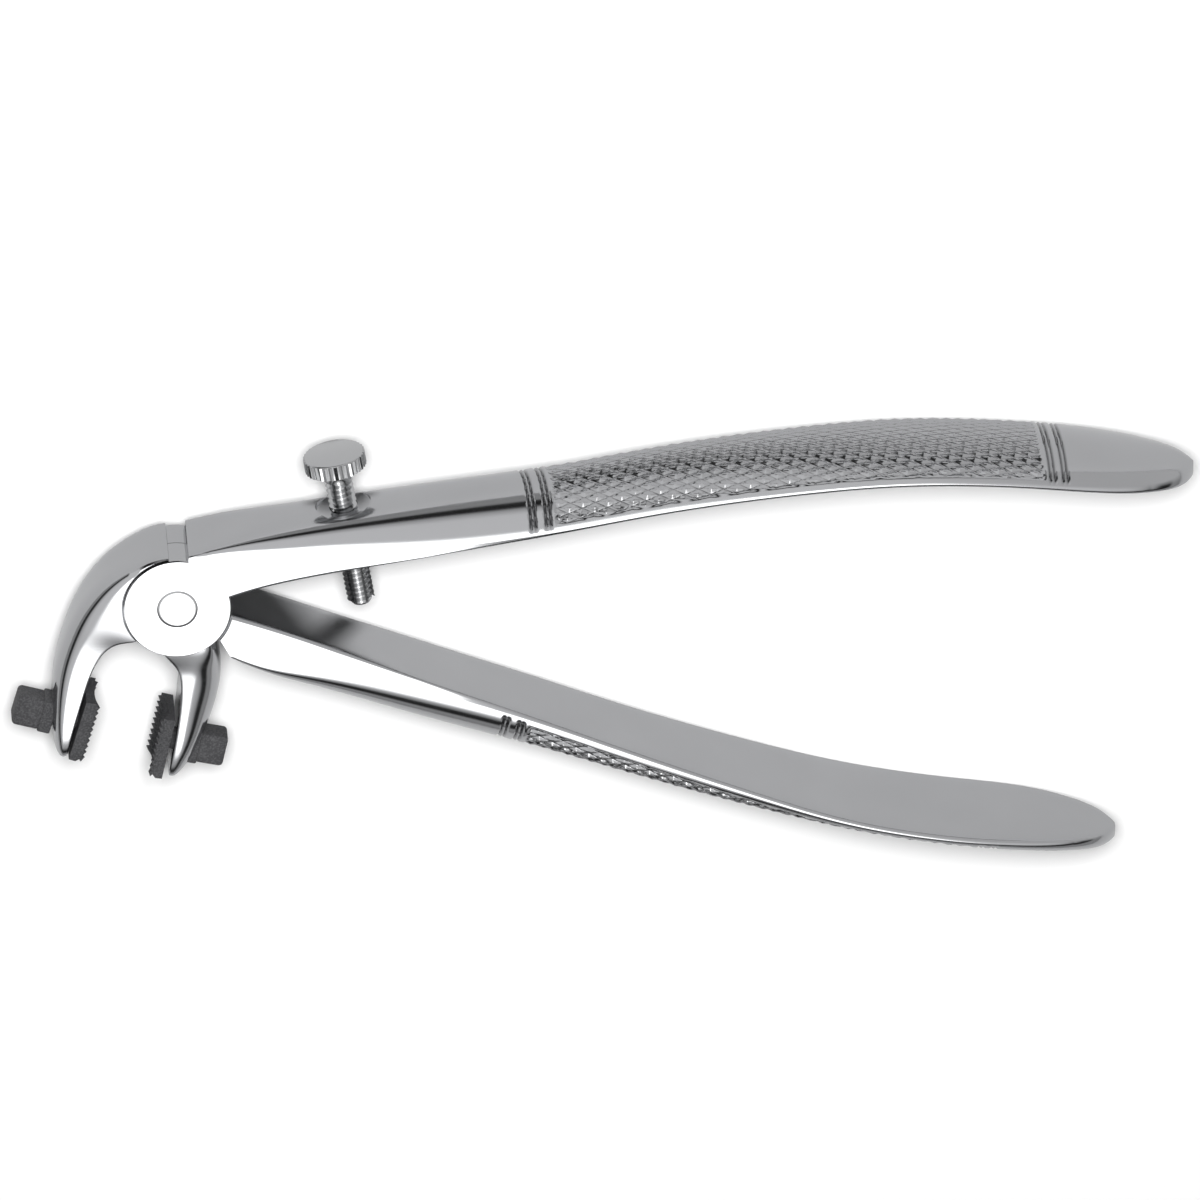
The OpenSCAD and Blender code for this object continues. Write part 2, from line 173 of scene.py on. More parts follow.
# %% Rings
EDGE_ROUND, ROOT_ROUND, DRAFT = 0.22, 0.3, 0.16
ON_FLAT = 99.0  # stands for the distance from the crown at points on the flat inner face


def fade(value, zero_at, one_at):
    """0 at one value, 1 at another, a straight line between them and no overshoot."""
    return min(1.0, max(0.0, (value - zero_at) / (one_at - zero_at)))


def outline(half, land, rise, shape, around, corner, draft):
    """Even points (across, up) over the crown, from one inner corner to the other, and their run."""
    a = np.linspace(0, math.pi, 361)
    power = 2 / shape
    across = -half * np.sign(np.cos(a)) * np.abs(np.cos(a)) ** power
    up = land + rise * np.abs(np.sin(a)) ** power
    c = min(corner, land * 0.7, half * 0.4)
    turn = np.linspace(0, math.pi / 2, 5)
    left = np.stack([-half + c - c * np.sin(turn), c - c * np.cos(turn)], 1)
    right = np.stack([half - c + c * np.cos(turn), c - c * np.sin(turn)], 1)
    middle = np.stack([across, up], 1)
    line = np.concatenate([left[:-1], [[-half, c]], middle, [[half, c]], right[1:]])
    line[:, 0] -= np.sign(line[:, 0]) * draft * np.clip(1 - line[:, 1] / land, 0, 1)
    run = np.concatenate([[0], np.cumsum(np.linalg.norm(np.diff(line, axis=0), axis=1))])
    inner = np.linspace(run[4], run[-5], around - 8)
    marks = np.concatenate([run[:4], inner, run[-4:]])
    even = np.stack([np.interp(marks, run, line[:, 0]), np.interp(marks, run, line[:, 1])], 1)
    return even, marks - run[-1] / 2


def ring(section, around):
    """Closed ring of points in millimetres, and each one's distance from the crown along the outline."""
    base, top = section[:2], section[2:4]
    height = np.linalg.norm(top - base)
    up = (top - base) / height
    soft = EDGE_ROUND + ROOT_ROUND * fade(section[0], 34, 22) * (section[0] > 4)
    draft = DRAFT * fade(section[2], 30, 42)
    half, land, shape = section[4:]
    line, far = outline(half, land, max(height - land, 0.02), shape, around, soft, draft)
    flat = 7
    back = np.stack([np.linspace(line[-1, 0], line[0, 0], flat + 2)[1:-1], np.zeros(flat)], 1)
    line = np.concatenate([line, back])
    far = np.concatenate([far, np.full(flat, ON_FLAT)])
    pts = np.stack([base[0] + up[0] * line[:, 1], base[1] + up[1] * line[:, 1], mid + line[:, 0]], 1)
    return pts, far


print("a ring has", len(ring(sample[0], 64)[0]), "points")

# %% [markdown]
# ## Small mesh helpers
# Every finished piece sits at the origin with its place in its mesh, in metres. These helpers turn rows of
# rings into closed skins, turn an outline into a round piece as a lathe does, and cut one mesh with another.

# %% Skins and turned pieces
def new_piece(name, verts, faces):
    mesh = bpy.data.meshes.new(name)
    mesh.from_pydata([tuple(v) for v in np.asarray(verts) * MM], [], faces)
    obj = bpy.data.objects.new(name, mesh)
    bpy.context.scene.collection.objects.link(obj)
    return obj


def point_out(obj):
    bm = bmesh.new()
    bm.from_mesh(obj.data)
    bmesh.ops.recalc_face_normals(bm, faces=bm.faces[:])
    bm.to_mesh(obj.data)
    bm.free()


def skin(name, rings):
    """Closed skin over a row of rings, with a flat cap at each end."""
    n, m = len(rings), len(rings[0])
    verts = np.concatenate(rings)
    faces = [(i * m + j, i * m + (j + 1) % m, (i + 1) * m + (j + 1) % m, (i + 1) * m + j)
             for i in range(n - 1) for j in range(m)]
    faces += [tuple(range(m))[::-1], tuple(range((n - 1) * m, n * m))]
    obj = new_piece(name, verts, faces)
    point_out(obj)
    return obj


def lathe(name, profile, sides=96):
    """Closed round piece from (radius, height) pairs; the first and last radius are 0."""
    rows = profile[1:-1]
    turn = np.linspace(0, 2 * math.pi, sides, endpoint=False)
    verts = [(0, 0, profile[0][1])] + [(r * math.cos(t), r * math.sin(t), z) for r, z in rows for t in turn]
    verts.append((0, 0, profile[-1][1]))
    last = len(verts) - 1
    firsts = [1 + i * sides for i in range(len(rows))]
    faces = []
    for j in range(sides):
        k = (j + 1) % sides
        faces.append((0, 1 + j, 1 + k))
        faces += [(a + j, a + k, b + k, b + j) for a, b in zip(firsts, firsts[1:])]
        faces.append((last, firsts[-1] + k, firsts[-1] + j))
    obj = new_piece(name, verts, faces)
    point_out(obj)
    return obj


print("skins and turned pieces ready")


# %% Booleans, clean edges and shading
def settle(obj):
    """Turns everything its modifiers make into its plain mesh."""
    dg = bpy.context.evaluated_depsgraph_get()
    mesh = bpy.data.meshes.new_from_object(obj.evaluated_get(dg))
    obj.modifiers.clear()
    old, obj.data = obj.data, mesh
    mesh.name = obj.name
    bpy.data.meshes.remove(old)
    return obj


def combine(obj, other, how):
    """Joins or cuts a mesh with another, which is used up."""
    cut = obj.modifiers.new(how, "BOOLEAN")
    cut.operation, cut.solver, cut.object = how, "EXACT", other
    settle(obj)
    bpy.data.objects.remove(other)
    return obj


def crisp(obj, angle):
    """Smooth shading, with every edge sharper than the angle kept sharp."""
    bm = bmesh.new()
    bm.from_mesh(obj.data)
    limit = math.radians(angle)
    for f in bm.faces:
        f.smooth = True
    for e in bm.edges:
        e.smooth = not (len(e.link_faces) == 2 and e.calc_face_angle(0) > limit)
    bm.to_mesh(obj.data)
    bm.free()


def tidy_mesh(obj, gap=1e-6):
    """Joins points that lie together and drops slivers."""
    bm = bmesh.new()
    bm.from_mesh(obj.data)
    bmesh.ops.remove_doubles(bm, verts=bm.verts[:], dist=gap)
    bmesh.ops.dissolve_degenerate(bm, edges=bm.edges[:], dist=gap / 2)
    bm.to_mesh(obj.data)
    bm.free()


print("mesh helpers ready")

# %% [markdown]
# ## Node trees by hand
# Geometry Nodes and shaders are both built in code, so short helpers keep that readable: one adds a
# node with its settings, the other opens a tree with named inputs and outputs. Every tree here ends in the
# same way, and every modifier's inputs are set by identifier, so those steps are helpers too.

# %% Tree helpers
SOCKETS = {"geometry": "NodeSocketGeometry", "float": "NodeSocketFloat", "int": "NodeSocketInt",
           "material": "NodeSocketMaterial"}


def open_tree(name, kind, inputs, outputs):
    tree = bpy.data.node_groups.new(name, kind)
    for label, sort, value in inputs:
        s = tree.interface.new_socket(label, in_out="INPUT", socket_type=SOCKETS[sort])
        if value is not None:
            s.default_value = value
    for label, sort in outputs:
        tree.interface.new_socket(label, in_out="OUTPUT", socket_type=SOCKETS[sort])
    return tree, tree.nodes.new("NodeGroupInput"), tree.nodes.new("NodeGroupOutput")


def add(tree, kind, plugs=None, **settings):
    """Adds a node; plugs maps an input's name or number to a value or to another node's output."""
    node = tree.nodes.new(kind)
    for key, value in settings.items():
        setattr(node, key, value)
    for key, value in (plugs or {}).items():
        if isinstance(value, bpy.types.NodeSocket):
            tree.links.new(value, node.inputs[key])
        else:
            node.inputs[key].default_value = value
    return node


def calc(tree, op, a, b=0.0, c=None):
    """Output of one arithmetic node."""
    plugs = {0: a, 1: b} if c is None else {0: a, 1: b, 2: c}
    return add(tree, "ShaderNodeMath", plugs, operation=op).outputs[0]


def blend(tree, amount, first, second):
    """Output of a mix of two colours."""
    return add(tree, "ShaderNodeMix", {0: amount, 6: first, 7: second}, data_type="RGBA").outputs[2]


def close_tree(tree, gin, gout, *parts):
    """Joins the parts, turns instances into mesh and gives all of it the finish."""
    both = add(tree, "GeometryNodeJoinGeometry")
    for part in parts:
        tree.links.new(part, both.inputs[0])
    real = add(tree, "GeometryNodeRealizeInstances", {0: both.outputs[0]})
    done = add(tree, "GeometryNodeSetMaterial", {
        "Geometry": real.outputs[0], "Material": gin.outputs["Finish"]})
    tree.links.new(done.outputs[0], gout.inputs[0])
    return tree


def run_tree(obj, tree, **values):
    """Puts a tree on an object; its inputs are found by name and set by identifier."""
    modifier = obj.modifiers.new(tree.name, "NODES")
    modifier.node_group = tree
    ids = {s.name.lower().replace(" ", "_"): s.identifier for s in tree.interface.items_tree
           if s.item_type == "SOCKET" and s.in_out == "INPUT"}
    for key, value in values.items():
        modifier[ids[key]] = value


print("tree helpers ready")

# %% [markdown]
# ## Surface effects shared by the finishes
# Handled metal and rubber both carry faint smudges, fine scratches and grain. Painting these by hand would
# need a texture for each piece, so they are one group of noises that each finish uses at its own strength.

# %% Handling marks group
def marks_group():
    tree, gin, gout = open_tree("Handling marks", "ShaderNodeTree",
                                [("Smudge Scale", "float", 90.0), ("Scratch Scale", "float", 900.0),
                                 ("Grain Scale", "float", 5000.0)],
                                [("Smudge", "float"), ("Scratch", "float"), ("Grain", "float")])
    where = add(tree, "ShaderNodeTexCoord").outputs["Object"]
    smudge = add(tree, "ShaderNodeTexNoise", {"Vector": where, "Scale": gin.outputs[0], "Detail": 4.0})
    stretch = add(tree, "ShaderNodeMapping", {"Vector": where, "Rotation": (0.3, 0.2, 0.5),
                                              "Scale": (0.12, 1.0, 1.0)})
    scratch = add(tree, "ShaderNodeTexNoise", {"Vector": stretch.outputs[0], "Scale": gin.outputs[1],
                                               "Detail": 6.0, "Roughness": 0.7})
    grain = add(tree, "ShaderNodeTexNoise", {"Vector": where, "Scale": gin.outputs[2], "Detail": 2.0})
    thin = add(tree, "ShaderNodeMapRange", {"Value": scratch.outputs[0], "From Min": 0.52, "From Max": 0.75})
    tree.links.new(smudge.outputs[0], gout.inputs[0])
    tree.links.new(thin.outputs[0], gout.inputs[1])
    tree.links.new(grain.outputs[0], gout.inputs[2])
    return tree


marks = marks_group()
print("group", marks.name)

# %% [markdown]
# ## Finishes
# Polished steel is a bare mirror that handling has dulled a little, so it is fully metallic with a low
# roughness that the smudges vary. Ring grooves and the half discs' walls get painted shade in their colour,
# and an attribute named cut says where. The knurling is pressed into the mesh, but the bottoms of its cuts
# are finer than the mesh, so the finish works out the same cuts again from the distances along and around the
# grip. It paints shade into them as dark lines and adds a small bump, which keeps their slopes crisp. Rubber
# is nearly black, rough, and speckled.

# %% Start of a finish
def begin_finish(name):
    mat = bpy.data.materials.new(name)
    mat.use_nodes = True
    tree = mat.node_tree
    tree.nodes.clear()
    out = tree.nodes.new("ShaderNodeOutputMaterial")
    shader = tree.nodes.new("ShaderNodeBsdfPrincipled")
    tree.links.new(shader.outputs[0], out.inputs[0])
    return mat, tree, shader


print("finish starter ready")

# %% The knurling's cuts, in millimetres and degrees
KNURL = {"First Pitch": 1.32, "First Angle": 13.0, "Second Pitch": 1.36, "Second Angle": 31.0}


def cut_family(tree, along, around, pitch, angle, way):
    """1 in the middle of each of a family of parallel cuts, 0 half way between two of them."""
    rad = calc(tree, "RADIANS", angle)
    a = calc(tree, "MULTIPLY", around, calc(tree, "COSINE", rad))
    b = calc(tree, "MULTIPLY", along, calc(tree, "SINE", rad))
    place = calc(tree, "DIVIDE", calc(tree, "ADD" if way > 0 else "SUBTRACT", a, b), pitch)
    return calc(tree, "SUBTRACT", 1.0, calc(tree, "MULTIPLY", calc(tree, "PINGPONG", place, 0.5), 2.0))


def facets(tree):
    """Height of the knurling's facets and the painted shade in its cuts, at any point of a surface."""
    along, around, grip = (add(tree, "ShaderNodeAttribute", attribute_name=n).outputs["Fac"]
                           for n in ("along", "around", "grip"))
    first = cut_family(tree, along, around, KNURL["First Pitch"], KNURL["First Angle"], 1)
    second = cut_family(tree, along, around, KNURL["Second Pitch"], KNURL["Second Angle"], -1)
    deep = calc(tree, "MULTIPLY", calc(tree, "MAXIMUM", first, second), grip)
    # The cuts' lines are painted shade: sharp dark lines, fainter for the second family.
    narrow, fainter, shade = 9.0, 0.5, 0.45
    line_shade = calc(tree, "MAXIMUM", calc(tree, "POWER", first, narrow),
                   calc(tree, "MULTIPLY", calc(tree, "POWER", second, narrow), fainter))
    shaded = calc(tree, "MULTIPLY", calc(tree, "MULTIPLY", line_shade, grip), shade)
    return calc(tree, "SUBTRACT", 1.0, deep), shaded


print("families of cuts:", KNURL)


# %% Steel and rubber
def steel(name, color, shade_colour, rough, grain_bump, knurled=False):
    """Bare metal whose darker colour is painted shade in cuts and on disc walls. The bumps' distances are in
    metres.
    """
    mat, tree, shader = begin_finish(name)
    shader.inputs["Metallic"].default_value = 1.0
    mk = add(tree, "ShaderNodeGroup", node_tree=marks)
    # The attribute cut paints shade into ring grooves and onto the half discs' walls.
    cut = add(tree, "ShaderNodeAttribute", attribute_name="cut").outputs["Fac"]
    if knurled:
        # The knurling's painted shade lines are added to cut.
        facet, line_shade = facets(tree)
        cut = calc(tree, "MAXIMUM", cut, line_shade)
    tone = calc(tree, "MULTIPLY", mk.outputs["Smudge"], 0.10)
    # Painted shade: cut darkens the colour towards the second, darker colour.
    tone = calc(tree, "MULTIPLY_ADD", cut, 0.75, tone)
    tone = add(tree, "ShaderNodeClamp", {"Value": tone}).outputs[0]
    tree.links.new(blend(tree, tone, color, shade_colour), shader.inputs["Base Color"])
    r = calc(tree, "MULTIPLY_ADD", mk.outputs["Smudge"], 0.10, rough - 0.05)
    r = calc(tree, "MULTIPLY_ADD", mk.outputs["Scratch"], 0.06, r)
    r = calc(tree, "MULTIPLY_ADD", cut, 0.12, r)
    tree.links.new(r, shader.inputs["Roughness"])
    height = calc(tree, "MULTIPLY_ADD", mk.outputs["Scratch"], -0.5, mk.outputs["Grain"])
    bump = add(tree, "ShaderNodeBump", {"Strength": grain_bump, "Distance": 0.00002, "Height": height})
    if knurled:
        bump = add(tree, "ShaderNodeBump", {"Strength": 1.0, "Distance": 0.00018, "Height": facet,
                                            "Normal": bump.outputs[0]})
    tree.links.new(bump.outputs[0], shader.inputs["Normal"])
    return mat


def rubber(name, color, pale):
    """Moulded rubber, speckled with a paler grain."""
    mat, tree, shader = begin_finish(name)
    shader.inputs["Specular IOR Level"].default_value = 0.35
    mk = add(tree, "ShaderNodeGroup", {"Smudge Scale": 300.0, "Scratch Scale": 1500.0, "Grain Scale": 3800.0},
             node_tree=marks)
    dust = add(tree, "ShaderNodeMapRange", {"Value": mk.outputs["Grain"], "From Min": 0.42, "From Max": 0.68})
    tone = calc(tree, "MULTIPLY", mk.outputs["Smudge"], 0.5)
    tone = calc(tree, "MULTIPLY_ADD", dust.outputs[0], 0.55, tone)
    tone = add(tree, "ShaderNodeClamp", {"Value": tone}).outputs[0]
    tree.links.new(blend(tree, tone, color, pale), shader.inputs["Base Color"])
    r = calc(tree, "MULTIPLY_ADD", mk.outputs["Smudge"], 0.15, 0.62)
    tree.links.new(r, shader.inputs["Roughness"])
    bump = add(tree, "ShaderNodeBump", {"Strength": 0.7, "Distance": 0.00008, "Height": mk.outputs["Grain"]})
    tree.links.new(bump.outputs[0], shader.inputs["Normal"])
    return mat


polished = steel("Polished steel", (0.56, 0.565, 0.575, 1), (0.05, 0.05, 0.052, 1), 0.13, 0.08, knurled=True)
bright = steel("Bright turned steel", (0.60, 0.605, 0.61, 1), (0.08, 0.08, 0.08, 1), 0.17, 0.12)
black_rubber = rubber("Black rubber", (0.028, 0.028, 0.030, 1), (0.10, 0.10, 0.104, 1))
print("finishes:", polished.name, bright.name, black_rubber.name)

# %% [markdown]
# ## Knurling as a rule
# A real handle gets its grip from two families of parallel cuts that cross. Modelling each diamond by hand
# would be endless, and a bump map would leave the outline smooth. The tree below presses both families into
# the dense grid of the grip: it reads how far along and around the handle each point lies, makes two waves
# of V-shaped cuts, takes the deeper, and sinks the point along its normal. It also hands the ring grooves'
# depth on to the finish, as the attribute cut, where it becomes painted shade.

# %% Knurling tree
CUT_DEPTH = 0.26


def knurl_tree():
    tree, gin, gout = open_tree("Knurling", "GeometryNodeTree", [
        ("Geometry", "geometry", None), *[(label, "float", value) for label, value in KNURL.items()],
        ("Depth", "float", CUT_DEPTH), ("Finish", "material", None)], [("Geometry", "geometry")])
    along, around, grip, rings = (
        add(tree, "GeometryNodeInputNamedAttribute", {"Name": n}, data_type="FLOAT").outputs[0]
        for n in ("along", "around", "grip", "rings"))
    first = cut_family(tree, along, around, gin.outputs["First Pitch"], gin.outputs["First Angle"], 1)
    second = cut_family(tree, along, around, gin.outputs["Second Pitch"], gin.outputs["Second Angle"], -1)
    cut = calc(tree, "MULTIPLY", calc(tree, "MAXIMUM", first, second), grip)
    depth = calc(tree, "MULTIPLY", calc(tree, "MULTIPLY", cut, gin.outputs["Depth"]), -MM)
    normal = add(tree, "GeometryNodeInputNormal").outputs[0]
    shift = add(tree, "ShaderNodeVectorMath", {0: normal}, operation="SCALE")
    tree.links.new(depth, shift.inputs["Scale"])
    # The ring grooves' depth is stored as cut, for the finish to paint shade into them.
    store = add(tree, "GeometryNodeStoreNamedAttribute", {
        "Geometry": gin.outputs[0], "Name": "cut", "Value": rings}, data_type="FLOAT", domain="POINT")
    sunk = add(tree, "GeometryNodeSetPosition", {"Geometry": store.outputs[0], "Offset": shift.outputs[0]})
    return close_tree(tree, gin, gout, sunk.outputs[0])


knurling = knurl_tree()
print("tree", knurling.name, "with", len(knurling.nodes), "nodes")

# %% [markdown]
# ## Handles
# A handle is made in two lengths that share one ring: a plain front length, which will be cut and joined at
# the pivot, and a fine grip length, from just before the first ring groove to the end. The grip's grid is
# fine enough to carry the knurling, and the ring grooves are pressed in by moving each point a little
# towards the middle of its section. Both fade out before the edge of the flat inner face.

# %% Grid of the handles and the ring grooves, in millimetres
AROUND = 126
RING_STEP = 0.165
FRONT_EVERY = 4
RING_DEPTH, RING_WIDTH, RING_PITCH = 0.3, 0.34, 0.62


def groove(x, centre):
    """How deep a ring groove is at x, from 0 at its edges to 1 in its middle."""
    return 0.5 + 0.5 * math.cos(math.pi * min(1.0, abs(x - centre) / RING_WIDTH))


def two_pairs(first, apart):
    """Places of two pairs of grooves, the second pair apart from the first."""
    return [first + step for step in (0, RING_PITCH, apart, apart + RING_PITCH)]


print("grid: one ring in", RING_STEP, "mm, points round the crown:", AROUND)


# %% Grip and front lengths
def handle(name, rows, split, grooves, knurl_from, knurl_to):
    """The plain front length and the grip length, which meet ring to ring where x reaches split."""
    fine = sections(rows, RING_STEP, smooth=2.2)
    k = int(np.argmin(np.abs(fine[:, 2] - split)))
    front = fine[:k + 1][::-1][::FRONT_EVERY][::-1]
    front = front if np.allclose(front[0], fine[0]) else np.concatenate([[fine[0]], front])
    front_obj = skin(name + "_front", [ring(s, AROUND)[0] for s in front])
    back = fine[k:]
    run = np.concatenate([[0], np.cumsum(np.linalg.norm(np.diff(back[:, 2:4], axis=0), axis=1))])
    front_lean, rear_lean, bare_edge, run_out = 0.1, 0.03, 1.7, 0.5
    rings, along, around, grip, ringed = [], [], [], [], []
    for s, at in zip(back, run):
        pts, far = ring(s, AROUND)
        crown = far < ON_FLAT
        half = far[crown].max()
        inward = np.array([s[0] + (s[2] - s[0]) * 0.35, s[1] + (s[3] - s[1]) * 0.35, mid])
        dips = np.zeros(len(pts))
        lean = front_lean if s[2] < 80 else rear_lean
        for i in np.nonzero(crown)[0]:
            depth = sum(groove(s[2] - lean * far[i], g) for g in grooves)
            dips[i] = depth * fade(half - abs(far[i]), 1.2, 2.0)
            way = inward - pts[i]
            pts[i] += way / np.linalg.norm(way) * dips[i] * RING_DEPTH
        rings.append(pts)
        ringed.append(dips)
        around.append(np.where(crown, far, 0))
        along.append(np.full(len(pts), at))
        here = pts[:, 0] - lean * around[-1] - knurl_from
        there = knurl_to - pts[:, 0] + lean * around[-1]
        border = np.where(crown, half - np.abs(far) - bare_edge, -1)
        grip.append(np.clip(np.minimum(np.minimum(here, there), border) / run_out, 0, 1))
    back_obj = skin(name + "_grip", rings)
    for label, values in (("along", along), ("around", around), ("grip", grip), ("rings", ringed)):
        layer = back_obj.data.attributes.new(label, "FLOAT", "POINT")
        layer.data.foreach_set("value", np.concatenate(values).astype(np.float32))
    run_tree(back_obj, knurling, finish=polished)
    settle(back_obj)
    print(name, "front", len(front_obj.data.polygons), "faces, grip", len(back_obj.data.polygons), "faces")
    return front_obj, back_obj, fine[k]


upper_front, upper_grip, upper_meet = handle(
    "upper", upper_handle, 46.6, two_pairs(48.0, 2.1) + two_pairs(120.5, 1.8), 51.3, 119.9)
lower_front, lower_grip, lower_meet = handle(
    "lower", lower_handle, 43.8, two_pairs(45.2, 2.1) + two_pairs(113.6, 1.8), 48.6, 112.8)


# %% Joining two lengths at their shared ring
def is_cap(face, ring_pts):
    """Whether a face is a large cap whose corners all lie on the ring; sizes are in metres."""
    if face.calc_area() < 5e-6 or (face.calc_center_median() - Vector(ring_pts.mean(0))).length > 0.004:
        return False
    return all(np.linalg.norm(ring_pts - np.array(v.co), axis=1).min() < 2e-6 for v in face.verts)


def weld(front, back, section):
    """Drops the two caps that face each other at the shared ring and joins both lengths."""
    ring_pts = ring(section, AROUND)[0] * MM
    for obj in (front, back):
        bm = bmesh.new()
        bm.from_mesh(obj.data)
        caps = [f for f in bm.faces if is_cap(f, ring_pts)]
        bmesh.ops.delete(bm, geom=caps, context="FACES_ONLY")
        print(obj.name, "caps opened:", len(caps))
        bm.to_mesh(obj.data)
        bm.free()
    joined = bmesh.new()
    joined.from_mesh(front.data)
    joined.from_mesh(back.data)
    bmesh.ops.remove_doubles(joined, verts=joined.verts[:], dist=3e-6)
    joined.to_mesh(front.data)
    joined.free()
    bpy.data.objects.remove(back)


print("the lengths meet at x", round(float(upper_meet[2]), 1), "and", round(float(lower_meet[2]), 1))

# %% [markdown]
# ## Joint, jaws and levers
# Each lever is one forging, so its half disc, handle and jaw are joined into one skin and then cut as the
# maker cuts them: a round pocket for the other lever's disc, the rivet's bore, the pads' holes and, in the
# upper lever, the screw's hole with its spot face.

# %% Frame of the screw
screw_axis = Vector(next(j for j in frame["record"]["behaviour"]["joints"]
                         if j["name"] == "stop_screw_travel")["axis"])
screw_x = 23.0
before, after = upper_handle[2][0], upper_handle[3][0]
screw_foot = Vector((screw_x, between(upper_handle, 2 + (screw_x - before) / (after - before))[3], mid))


def frame_of(origin, x_axis, y_axis, z_axis):
    m = Matrix((x_axis, y_axis, z_axis)).transposed().to_4x4()
    m.translation = origin
    return m


side_axis = Vector((0, 0, 1))
at_screw = frame_of(screw_foot, side_axis.cross(screw_axis) * -1, side_axis, screw_axis)
print("screw foot", tuple(round(c, 2) for c in screw_foot), "axis", tuple(round(c, 3) for c in screw_axis))

# %% Frames of the pads
# a pad's seat on its jaw, its lean in degrees, the way it faces and the depth of its collar's seat
pad_gap = 0.35
pad_facts = {"outer_pad": (Vector((-13.8, -20, mid)), 14.4, 1, pad_gap + 3.15),
             "inner_pad": (Vector((-0.3, -23.2, mid)), 10.7, -1, pad_gap + 2.4)}


def at_pad(name):
    seat, lean, way, through = pad_facts[name]
    a = math.radians(lean)
    front = Vector((way * math.cos(a), -math.sin(a) if way > 0 else math.sin(a), 0))
    up = Vector((math.sin(a), math.cos(a), 0))
    return frame_of(seat + pad_gap * front, front, up, side_axis * way), through


print("pads lean", [facts[1] for facts in pad_facts.values()], "degrees")


# %% Tools that cut the joint and the jaws
cut_r, lap = joint_r + 0.1, 0.06
disc_chamfer, disc_overlap = 0.16, 0.6
rivet_shank, rivet_head, rivet_sink = 2.3, 2.8, 1.1
collar_high, collar_wide, collar_play = 2.42, 2.2, 0.15
stem_hole_r, screw_hole_r, spot_r = 1.6, 2.01, 3.9


def moved(obj, m):
    """Moves a mesh in metres by a matrix in millimetres."""
    obj.data.transform(Matrix.Scale(1 / MM, 4))
    obj.data.transform(m)
    obj.data.transform(Matrix.Scale(MM, 4))
    point_out(obj)
    return obj


def block(name, x0, x1, y, z, m):
    """Block from x0 to x1, with half sizes y and z."""
    v = [(x, sy * y, sz * z) for x in (x0, x1) for sy in (-1, 1) for sz in (-1, 1)]
    f = [(0, 1, 3, 2), (4, 6, 7, 5), (0, 4, 5, 1), (2, 3, 7, 6), (0, 2, 6, 4), (1, 5, 7, 3)]
    return moved(new_piece(name, v, f), m)


def pad_cuts(name):
    """The stem's hole through the jaw and the collar's seat behind it."""
    m, through = at_pad(name)
    stem = lathe("stem_hole", [(0, -14), (stem_hole_r, -14), (stem_hole_r, 2), (0, 2)], 64)
    stem = moved(moved(stem, Matrix.Rotation(math.radians(90), 4, "Y")), m)
    high, wide = collar_high + collar_play, collar_wide + collar_play
    seat = block("collar_seat", -through - 8, -through, high, wide, m)
    return stem, seat


def shaded_disc(name, profile):
    """A turned half disc whose outer wall, but neither flat face, carries painted shade through the attribute
    cut.
    """
    obj = lathe(name, profile, 200)
    shade = 0.45
    # Painted shade on the outer wall only.
    wall = obj.data.attributes.new("cut", "FLOAT", "POINT")
    wall.data.foreach_set("value", [shade if math.hypot(v.co.x, v.co.y) > (joint_r - 0.05) * MM else 0.0
                                    for v in obj.data.vertices])
    return obj


def bore(play):
    """Cutter for the rivet's bore, countersunk at both faces."""
    shank, head, past = rivet_shank + play, rivet_head + play, 0.001
    return lathe("bore", [(0, -past), (head, -past), (shank, rivet_sink), (shank, joint_t - rivet_sink),
                          (head, joint_t + past), (0, joint_t + past)], 96)


print("collar", 2 * collar_high, "by", 2 * collar_wide, "mm")


# %% Jaws
def jaw(name, rows):
    return skin(name, [ring(s, 72)[0] for s in sections(rows, 0.42, smooth=0.9)])


jaws = {"lower": jaw("outer_jaw", outer_jaw), "upper": jaw("inner_jaw", inner_jaw)}
print("jaw faces", [len(obj.data.polygons) for obj in jaws.values()])

# %% Lower lever
# the handle's shoulder at the joint is cut square at this distance and angle from the pivot
shoulder_at, shoulder_angle, beyond = 2.84, math.radians(30), 30
root_cut = block("root_cut", -beyond, shoulder_at, beyond, beyond,
                 Matrix.Translation((0, 0, mid)) @ Matrix.Rotation(shoulder_angle, 4, "Z"))
lower = combine(lower_front, root_cut, "DIFFERENCE")
disc = [(0, 0), (joint_r - disc_chamfer, 0), (joint_r, disc_chamfer), (joint_r, mid + disc_overlap),
        (0, mid + disc_overlap)]
lower = combine(lower, shaded_disc("lower_disc", disc), "UNION")
lower = combine(lower, jaws["lower"], "UNION")
pocket = [(0, mid - lap), (cut_r, mid - lap), (cut_r, joint_t - 0.25), (cut_r + 0.35, joint_t + 0.1),
          (cut_r + 0.35, joint_t + 3), (0, joint_t + 3)]
lower = combine(lower, lathe("upper_pocket", pocket, 200), "DIFFERENCE")
lower = combine(lower, bore(0.01), "DIFFERENCE")
for tool in pad_cuts("outer_pad"):
    lower = combine(lower, tool, "DIFFERENCE")
lower.name = "Lower_lever"
print(lower.name, len(lower.data.polygons), "faces before the grip")

